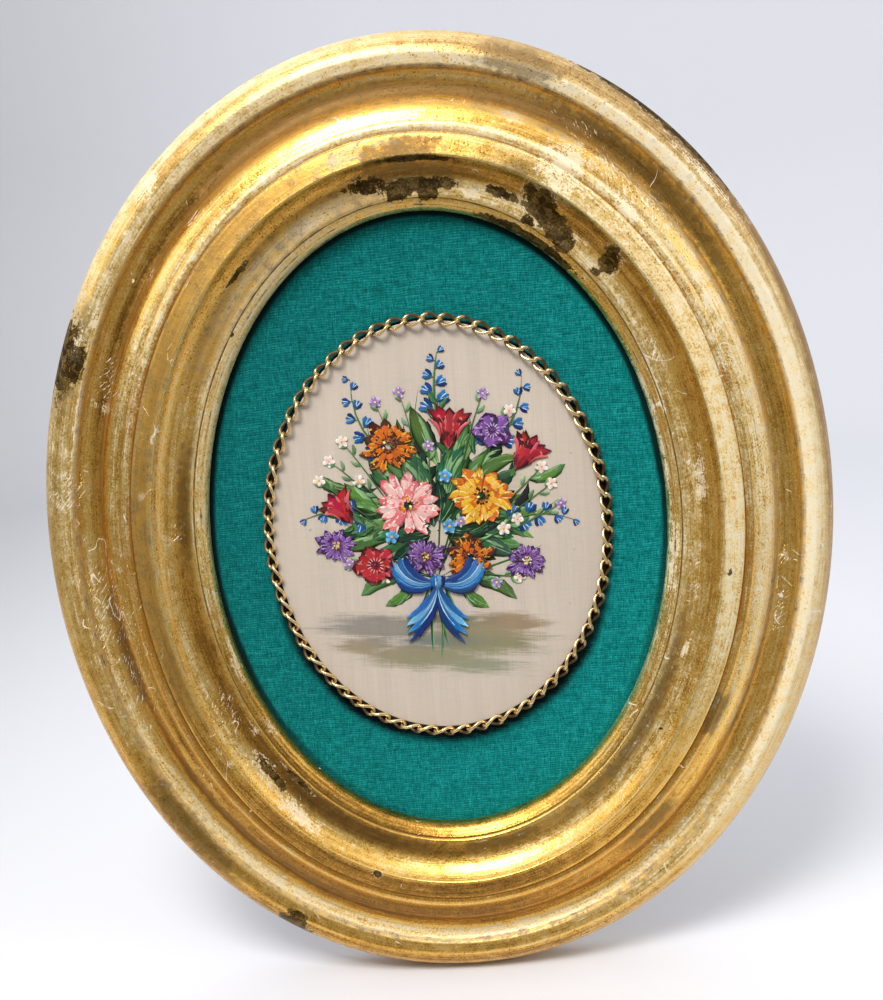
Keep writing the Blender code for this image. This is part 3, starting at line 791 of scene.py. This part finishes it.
def heart_dots(x, z, radius, heart, seeds, light, count=16):
    """A raised heart of dots, darkest round its rim."""
    for step in range(count):
        way = uniform(0, 360)
        share = np.sqrt(uniform(0, 1))
        colour = seeds if share > 0.75 else heart if uniform() < 0.7 else light
        dab(*ahead(x, z, way, radius * share), way, radius * 0.42, radius * 0.36, 0, 0.5,
            0.022 + 0.0006 * step, shaken(colour, 0.15))


def shortened(way, squash):
    """The share of its length that a petal shows: all of it sideways, and the squash straight up or down."""
    return np.hypot(np.cos(np.radians(way)), squash * np.sin(np.radians(way)))


def ray_flower(x, z, radius, count, width, paints, heart, seeds, squash=1):
    """Two rings of petals round a heart."""
    lift[0] += 0.012
    for layer in range(2):
        for step in range(count):
            way = 360 * (step + 0.5 * layer) / count + normal(0, 6)
            reach = radius * (1 - 0.2 * layer) * uniform(0.8, 1.1) * shortened(way, squash)
            petal(*ahead(x, z, way, 0.12 * radius), way, reach * 0.88, width * uniform(0.85, 1.1),
                normal(0, 0.05), paints, 0.75)
    heart_dots(x, z, radius * 0.22, heart, seeds, BUTTER)


def cup_flower(x, z, radius, paints):
    """An anemone: broad petals in two rings, and a dark heart inside a pale ring."""
    lift[0] += 0.012
    first = uniform(0, 60)
    for layer, reach in ((0, 1), (1, 0.8)):
        for step in range(5):
            way = first + 72 * step + 36 * layer
            petal(x, z, way, radius * reach * shortened(way, 0.85), radius * 0.78 * reach, normal(0, 0.03),
                paints, 0.85)
    for way in 360 * np.arange(14) / 14:
        dab(*ahead(x, z, way, radius * 0.18), way, radius * 0.22, radius * 0.05, 0, 0.5, 0.02, CREAM,
            shaken(paints[2]))
    heart_dots(x, z, radius * 0.17, INK, INK, PLUM, 12)


def tulip(x, z, way, size):
    """A tulip from the side: back petals, two side petals and a front one, each with its lights."""
    lift[0] += 0.01
    for off, wide in ((-17, 0.34), (18, 0.34), (-29, 0.34), (30, 0.34), (1, 0.44)):
        petal(x, z, way + off, size * uniform(0.92, 1.05), size * wide, -off * 0.006, REDS, 0.45)
    dab(x, z, way + 180, 2.4, 1.6, 0, 0.3, 0.02, GREEN, shaken(MOSS))


def bell_spray(x, z, way, length, bend, bells):
    """A thin arching stem with bellflowers that hang from it on both sides and shrink toward its tip."""
    lift[0] += 0.004
    dab(x, z, way, length, 0.6, bend, 0.3, 0, GREEN, shaken(MOSS))
    for step in range(bells):
        lift[0] += 0.002
        along = 0.22 + 0.78 * step / (bells - 1)
        spot = ahead(x, z, way, length * along, 4 * bend * length * along * (1 - along))
        size = 4.8 * (1.05 - 0.62 * along)
        hang = way + (-1) ** step * uniform(45, 75)
        dab(*spot, hang, size * 0.5, 0.35, 0, 0.3, 0, MOSS, GREEN)
        for off, colour in ((-26, NAVY), (26, BLUE), (0, BLUE)):
            dab(*ahead(*spot, hang, size * 0.2), hang + off, size, size * 0.46, 0, 0.72, 0.004,
                shaken(NAVY, 0.2), shaken(colour, 0.15))
        for off in (-14, 12):
            dab(*ahead(*spot, hang, size * 0.35), hang + off, size * 0.75, size * 0.15, 0, 0.6, 0.01,
                shaken(SKY), shaken(ICE, 0.05))
    for step in range(3):
        leaf(*ahead(x, z, way, length * (0.06 + 0.12 * step)), way + (-1) ** step * 34, 6.5 - step, 1.7,
            0.08, GREEN, MOSS)


def small_flower(x, z, size, shade, body, light, heart):
    """Five round petals, each with a light edge, and a dot."""
    lift[0] += 0.004
    first = uniform(0, 72)
    for way in first + 72 * np.arange(5):
        dab(x, z, way, size, size * 0.8, 0, 0.8, 0, shaken(shade), shaken(body, 0.15))
        dab(*ahead(x, z, way, size * 0.45), way, size * 0.5, size * 0.34, 0, 0.7, 0.006, shaken(body),
            shaken(light, 0.06))
    dab(x - size * 0.2, z, 0, size * 0.4, size * 0.38, 0, 0.5, 0.012, heart)


for x, way, length, bend in ((-1.4, 258, 22, 0.05), (-0.4, 268, 25, -0.03), (0.8, 277, 23, -0.05),
        (-2, 248, 20, 0.07), (2, 289, 20, -0.06), (0.4, 272, 27, 0.03), (1.6, 296, 18, -0.07)):
    lift[0] += 0.002
    dab(x, -14, way, length, 1.15, bend, 0.3, 0, DEEP, shaken(GREEN))
    dab(x + 0.1, -14, way, length * 0.97, 0.75, bend, 0.3, 0.004, GREEN, shaken(MOSS))
    dab(x + 0.25, -14, way, length * 0.92, 0.22, bend, 0.3, 0.01, MINT, shaken(MINT))
for x, z in ((-15, 21), (15, 9), (1, 40), (-30, 4), (29, 25), (-22, 33), (14, 26), (32, -4), (-21, -9),
        (-6, 44), (22, 36), (36, 10), (-36, 14)):
    lift[0] += 0.001
    dab(0, -15, np.degrees(np.arctan2(z + 15, x)), np.hypot(x, z + 15), 0.7, uniform(-0.08, 0.08), 0.3, 0,
        DEEP, shaken(MOSS))
# Dark shade under the heart of the posy, then leaves
for step in range(60):
    spot = ahead(0, 2, uniform(-10, 190), 24 * np.sqrt(uniform(0, 1)))
    way = np.degrees(np.arctan2(spot[1] + 15, spot[0])) + normal(0, 25)
    lift[0] += 0.0005
    dab(*spot, way, uniform(6, 11), uniform(2.2, 3.8), normal(0, 0.15), 0.5, 0,
        shaken(INK if uniform() < 0.3 else DEEP, 0.25), shaken(DEEP if uniform() < 0.6 else GREEN, 0.25))
# Leaves fan out from the binding in three rounds, the outer ones long and light, the inner ones dark
for count, reach, length, width, pair in ((17, 13, 19, 4.9, (MOSS, MINT)), (15, 8, 17, 5.2, (GREEN, MINT)),
        (15, 3, 15, 5.4, (DEEP, GREEN))):
    for step in range(count):
        way = -22 + 224 * (step + uniform(0.2, 0.8)) / count
        spot = ahead(0, -2 + 0.35 * reach, way, reach * uniform(0.8,
            1.2) * (1.15 - 0.3 * abs(np.cos(np.radians(way)))))
        leaf(*spot, way + normal(0, 9), length * uniform(0.8, 1.15), width * uniform(0.8, 1.15),
            normal(0, 0.09), *pair)
for x, z, way, length, width, bend in ((-9, -14, 205, 16, 4.6, -0.1), (9, -14, 335, 17, 4.6, 0.1),
        (-7, -16, 222, 12, 3.8, 0.1), (7, -16, 318, 12, 3.8, -0.1), (-26, 12, 158, 12, 3.6, 0.1),
        (27, 16, 24, 12, 3.6, -0.1)):
    leaf(x, z, way, length, width, bend, MOSS, MINT)
for spray in ((-11, 20, 121, 30, 0.15, 9), (10, 22, 60, 29, -0.15, 9), (17, 0, 10, 24, 0.14, 8),
        (-18, 1, 174, 22, -0.15, 7), (0, 32, 92, 22, 0.05, 8)):
    bell_spray(*spray)
for x, z in ((-33, 21), (-29, 27), (-36, 15), (34, 15), (37, 9), (31, 20), (-12, 42), (13, 42), (-16, -15),
        (18, -16), (25, -14), (-27, -11), (7, 3), (-3, 26), (-19, 39), (21, 37), (-24, 15), (24, 4)):
    stem_x, stem_z = 0.5 * x, 0.5 * z - 6
    way = np.degrees(np.arctan2(z - stem_z, x - stem_x))
    reach = np.hypot(x - stem_x, z - stem_z)
    bend = uniform(-0.06, 0.06)
    lift[0] += 0.001
    dab(stem_x, stem_z, way, reach, 0.42, bend, 0.3, 0, DEEP, shaken(MOSS))
    for share, lean in ((0.62, 30), (0.78, -34), (0.9, 28)):
        spot = ahead(stem_x, stem_z, way, reach * share, 4 * bend * reach * share * (1 - share))
        dab(*spot, way + lean, 3.4, 1.1, 0.1 * np.sign(lean), 0.5, 0.004, shaken(GREEN, 0.2),
            shaken(MINT, 0.2))
    if uniform() < 0.5:
        small_flower(x, z, 2, BLUSH, CREAM, CREAM, YELLOW)
    else:
        small_flower(x, z, 1.9, PURPLE, LILAC, CREAM, BUTTER)
REDS, PURPLES, GOLDS = (WINE, RED, ROSE), (PLUM, PURPLE, LILAC), (UMBER, ORANGE, YELLOW)
tulip(-26, 2, 128, 12)
tulip(23, 19, 58, 12.5)
tulip(3, 25, 88, 13.5)
ray_flower(-31, -5, 6.6, 11, 2.2, PURPLES, YELLOW, UMBER, 0.8)
ray_flower(27, -9, 6.8, 11, 2.2, PURPLES, BUTTER, UMBER, 0.85)
cup_flower(16, 31, 6.4, PURPLES)
ray_flower(-15, 26, 9, 11, 3.2, GOLDS, UMBER, INK, 0.9)
cup_flower(-19, -11, 7.4, REDS)
ray_flower(13, 11, 10, 12, 3.5, (ORANGE, YELLOW, BUTTER), UMBER, INK)
ray_flower(-9, 8, 10.6, 13, 3.4, (ROSE, BLUSH, CREAM), YELLOW, ORANGE)
ray_flower(10, -8, 8.4, 11, 3.1, GOLDS, UMBER, WINE, 0.9)
ray_flower(-4, -8, 6.8, 11, 2.4, PURPLES, YELLOW, UMBER, 0.9)
for x, z, size in ((3.5, 1.5, 2.4), (-14, -2, 2.2), (2, 17, 2.2)):
    small_flower(x, z, size, BLUE, SKY, ICE, YELLOW)
small_flower(20, 1, 2.2, BLUSH, CREAM, CREAM, YELLOW)
# The bow: two loops, two tails and a knot
for side in (1, -1):
    middle = 90 - side * 68
    for step, colour in enumerate((NAVY, BLUE, BLUE, SKY, BLUE, NAVY)):
        lift[0] += 0.002
        dab(0, -16, middle + side * (step - 2.5) * 7, 16 - abs(step - 2.5), 3.3, side * -0.22, 0.85, 0,
            shaken(NAVY, 0.15), shaken(colour))
    for step, colour in enumerate((SKY, SKY, ICE, SKY)):
        dab(0, -16, middle + side * (step - 1.5) * 8, 15 - abs(step - 1.5), 0.6, side * -0.22, 0.7, 0.012,
            shaken(BLUE), shaken(colour, 0.08))
    for step, colour in enumerate((NAVY, BLUE, SKY, BLUE)):
        lift[0] += 0.002
        dab(0, -16, 270 - side * (24 + 5 * step), 21 - 2 * step, 2.5, side * 0.12, 0.8, 0,
            shaken(NAVY, 0.15), shaken(colour))
    for step in range(2):
        dab(0, -17, 270 - side * (27 + 8 * step), 16 - step, 0.5, side * 0.12, 0.6, 0.012, shaken(SKY),
            shaken(ICE, 0.06))
for way, colour in ((70, NAVY), (110, BLUE), (90, BLUE), (84, SKY)):
    lift[0] += 0.004
    dab(0, -18.4, way, 4.8, 3, 0, 0.5, 0, shaken(NAVY), shaken(colour))
dab(-0.5, -17.6, 92, 3, 0.6, 0, 0.5, 0.012, ICE)

# Each stroke is a tube of rings that is round on top and flat below
table = np.array(strokes)
ALONG, ROUND = 7, 6
PAINT_THIN, PAINT_THICKER, SUNK = 0.02, 0.006, 0.006      # in millimetres; thicker by the stroke's width
part = np.linspace(0, 1, ALONG)[None, :, None]
ring_side = np.array([-1, -0.5, 0, 0.5, 1, 0])
ring_lift = np.array([0, 0.8, 1, 0.8, 0, 0])
on_silk = np.array([1, 1, 1, 1, 1, 0])
x, z, way, length, width, bend, full, lift_on = (table[:, column, None, None] for column in range(8))
way = np.radians(way)
wobble = 1 + 0.14 * normal(size=(len(table), ALONG, 1))
swell = np.clip(np.sin(np.pi * part ** (1 + 0.9 * (full - 0.5))) ** 0.6 * wobble, 0.03, 1.2)
aside = 4 * bend * length * part * (1 - part) + swell * width / 2 * ring_side
thick = PAINT_THIN + PAINT_THICKER * np.minimum(width, 3)
proud = thick * np.minimum(swell, 1) * ring_lift + lift_on * on_silk - SUNK
across, rise = leaned(x + length * part * np.cos(way) - aside * np.sin(way),
    z + length * part * np.sin(way) + aside * np.cos(way), POSY_LEAN)
paint_points = np.stack([across / 1000, -(CARD_FRONT + proud / 1000), MIDDLE_HEIGHT + rise / 1000], -1)
mixed = part[..., None] ** 0.8
paint_colour = table[:, None, None, 8:11] * (1 - mixed) + table[:, None, None, 11:14] * mixed
paint_colour = paint_colour * (1 + 0.08 * ring_side[:, None] + 0.07 * normal(size=(len(table), 1, ROUND, 1)))
order = np.arange(len(table))[:, None, None]
brush_way = np.stack(np.broadcast_arrays(length * part, swell * width / 2 * ring_side, 11.3 * order), -1)
starts = order * ALONG * ROUND
faces = [(quad_grid(ALONG, ROUND)[None] + starts).reshape(-1, 4),
    np.arange(ROUND)[None, ::-1] + starts[:, :, 0],
    np.arange(ROUND)[None] + (ALONG - 1) * ROUND + starts[:, :, 0]]
paint_finish, place, shader = new_finish("opaque_paint")
bristle = place.read("brush_way", "Vector").grain(1, (0.35, 5.5, 1), detail=3, roughness=0.65) - 0.5
speckle = place.grain(1700) - 0.5
coat(shader, place.read("paint_colour", "Vector").scaled(1 + 0.95 * bristle + 0.45 * speckle),
    0.5 + 0.3 * bristle, 0.35, (bristle + speckle * 0.3).bump(0.6, 0.00006), {})
posy = new_piece("painted_posy", paint_points, faces, paint_finish)
mark(posy, "paint_colour", np.clip(paint_colour, 0, 1))
mark(posy, "brush_way", brush_way)
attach(posy, "root")
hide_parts("silk_panel")

# ---- Chain trim ----
# A curb chain of aged brass wire, glued round the card's edge. Each link is an oval of round wire whose
# opposite quarters are twisted up and down, so that the chain lies flat like a rope.
LINKS = 70
WIRE_HALF = 0.0005
LINK_HALF_LENGTH = 0.00305
LINK_HALF_WIDTH = 0.0017
LINK_TWIST = np.radians(60)
CHAIN_OUT = 0.0005
CHAIN_LIFT = 0.00105
CHAIN_ROLL = np.radians(45)           # the outer side lies lower, over the card's edge
CHAIN_ROLL_SWING = np.radians(9)
# Painted shade on the chain: its wire is darkest near the card and clear a little above it
SHADE_TOP, SHADE_FALL = 0.0008, 0.0016
ALONG, ROUND = 28, 10
chain_halves = CARD_HALVES + CHAIN_OUT
fine = np.linspace(0, 2 * np.pi, 4001)
steps = np.hypot(np.diff(chain_halves[0] * np.cos(fine)), np.diff(chain_halves[1] * np.sin(fine)))
travel = np.concatenate([[0], np.cumsum(steps)])
stations = np.interp(np.arange(LINKS) * travel[-1] / LINKS, travel, fine)
rng = np.random.default_rng(5)
tangent = np.stack([-chain_halves[0] * np.sin(stations), 0 * stations,
    chain_halves[1] * np.cos(stations)], -1)
tangent /= np.linalg.norm(tangent, axis=1)[:, None]
outward = np.stack([tangent[:, 2], 0 * stations, -tangent[:, 0]], -1)
front = np.array([0, -1, 0])
swing = CHAIN_ROLL_SWING * np.sin(stations + 0.6)
tilt = (CHAIN_ROLL - swing + np.radians(rng.normal(0, 4.5, LINKS)))[:, None]
flat = outward * np.cos(tilt) - front * np.sin(tilt)
up = front * np.cos(tilt) + outward * np.sin(tilt)
centre = np.stack([chain_halves[0] * np.cos(stations), np.full(LINKS, -(CARD_FRONT + CHAIN_LIFT)),
    MIDDLE_HEIGHT + chain_halves[1] * np.sin(stations)], -1)
centre += outward * rng.normal(0, 0.00008, LINKS)[:, None]
size = 1 + rng.normal(0, 0.02, (LINKS, 1, 1))


def link_line(t):
    """The link's middle line: an oval whose plane turns about its length, one way to the other end."""
    turned = LINK_TWIST * np.cos(t)
    bowed = np.cos(turned) * flat[:, None] + np.sin(turned) * up[:, None]
    return centre[:, None] + size * (LINK_HALF_LENGTH * np.cos(t) * tangent[:, None]
        + LINK_HALF_WIDTH * np.sin(t) * bowed)


t = turns(ALONG)[None, :, None]
line = link_line(t)
along = link_line(t + 0.01) - line
along /= np.linalg.norm(along, axis=-1)[..., None]
side = np.cross(along, up[:, None])
side /= np.linalg.norm(side, axis=-1)[..., None]
a = turns(ROUND)[:, None]
chain_points = line[:, :, None] + WIRE_HALF * (np.cos(a) * side[:, :, None]
    + np.sin(a) * np.cross(side, along)[:, :, None])
quads = (quad_grid(ALONG, ROUND, True)[None] + (np.arange(LINKS) * ALONG * ROUND)[:, None, None]).reshape(-1,
    4)
brass, place, shader = new_finish("aged_brass")
pits = place.grain(1400, detail=3)
tarnish = place.grain(160, detail=3)
# Painted shade on the low-lying wire, mixed with real tarnish and pits
dark = (place.read("low_shade") * 1.5 + (pits - 0.5) * 0.8 + (tarnish - 0.5) * 0.7).rise(0.25, 0.85)
gold_tone = tarnish.ramp((0.35, (0.84, 0.58, 0.26)), (0.65, (1, 0.8, 0.44)))
coat(shader, gold_tone.tinted((0.07, 0.036, 0.012), dark * 0.92), 0.22 + 0.25 * dark + 0.08 * pits, 0.5,
    pits.bump(0.2, 0.00005), {"Metallic": 0.86 - 0.3 * dark})
chain = new_piece("curb_chain", chain_points, [quads], brass)
# Painted shade: how low each point of the wire lies toward the card
mark(chain, "low_shade", np.clip(0.75 - (-chain_points[..., 1] - CARD_FRONT - SHADE_TOP) / SHADE_FALL, 0, 1))
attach(chain, "root")
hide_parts("chain_trim")

# A dark strip under the chain, painted shade: it stands in for the shadow in and below the chain, thick at
# the sides and below and thin at the top. Its outline is (out from the card's edge, height over the wall), in
# millimetres.
SHADE_STRIP_OUTLINE = np.array([(-0.62, 10.56), (-0.55, 10.85), (-0.1, 11.05), (0.55, 10.95), (1.15, 10.5),
    (1.7, 9.8), (1.95, 9.05), (0.6, 8.98), (-0.05, 8.98), (-0.08, 10.3)]) / 1000
SHADE_STRIP_CORNER = np.array([0, 0.00935])    # where it sits under the chain, at every turn
SHADE_STRIP_ROUND = 360
turn = turns(SHADE_STRIP_ROUND)[:, None]
# The strip of painted shade is widest at the sides and below, where the shadow falls
body = 0.35 + 0.65 * np.clip(1.5 - 1.9 * np.sin(turn), 0, 1)
shade_strip_line = SHADE_STRIP_CORNER + (SHADE_STRIP_OUTLINE - SHADE_STRIP_CORNER) * body[..., None]
shade_strip_points = on_oval(turn, shade_strip_line[..., 0], shade_strip_line[..., 1], CARD_HALVES)
# Painted shade: a near-black finish for the strip
shade_strip_finish, place, shader = new_finish("painted_shade_strip")
lumps = place.grain(900, detail=3)
coat(shader, lumps.ramp((0.35, (0.004, 0.003, 0.002)), (0.7, (0.03, 0.017, 0.008))), 0.9, 0.1,
    lumps.bump(0.6, 0.0002), {})
shade_strip = new_piece("chain_shade_strip", shade_strip_points, [quad_grid(SHADE_STRIP_ROUND, len(SHADE_STRIP_OUTLINE), True)], shade_strip_finish)
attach(shade_strip, "root")
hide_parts("chain_trim")

# ---- Backing board ----
# A plain oval cut from brown board. It is pressed into the back of the rebate, where it closes the
# frame and keeps the mat in its place.
backing_finish, place, shader = new_finish("brown_backing_board")
fibre = place.grain(900, (1, 1, 0.35), detail=4, roughness=0.7)
patch = place.grain(18, detail=4, roughness=0.6)
coat(shader, (fibre * 0.5 + patch * 0.5).ramp((0.3, (0.24, 0.15, 0.08)), (0.7, (0.38, 0.26, 0.15))), 0.9,
    0.2, fibre.bump(0.35, 0.0001), {})
for material_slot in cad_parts["backing_board"].material_slots:
    material_slot.material = backing_finish
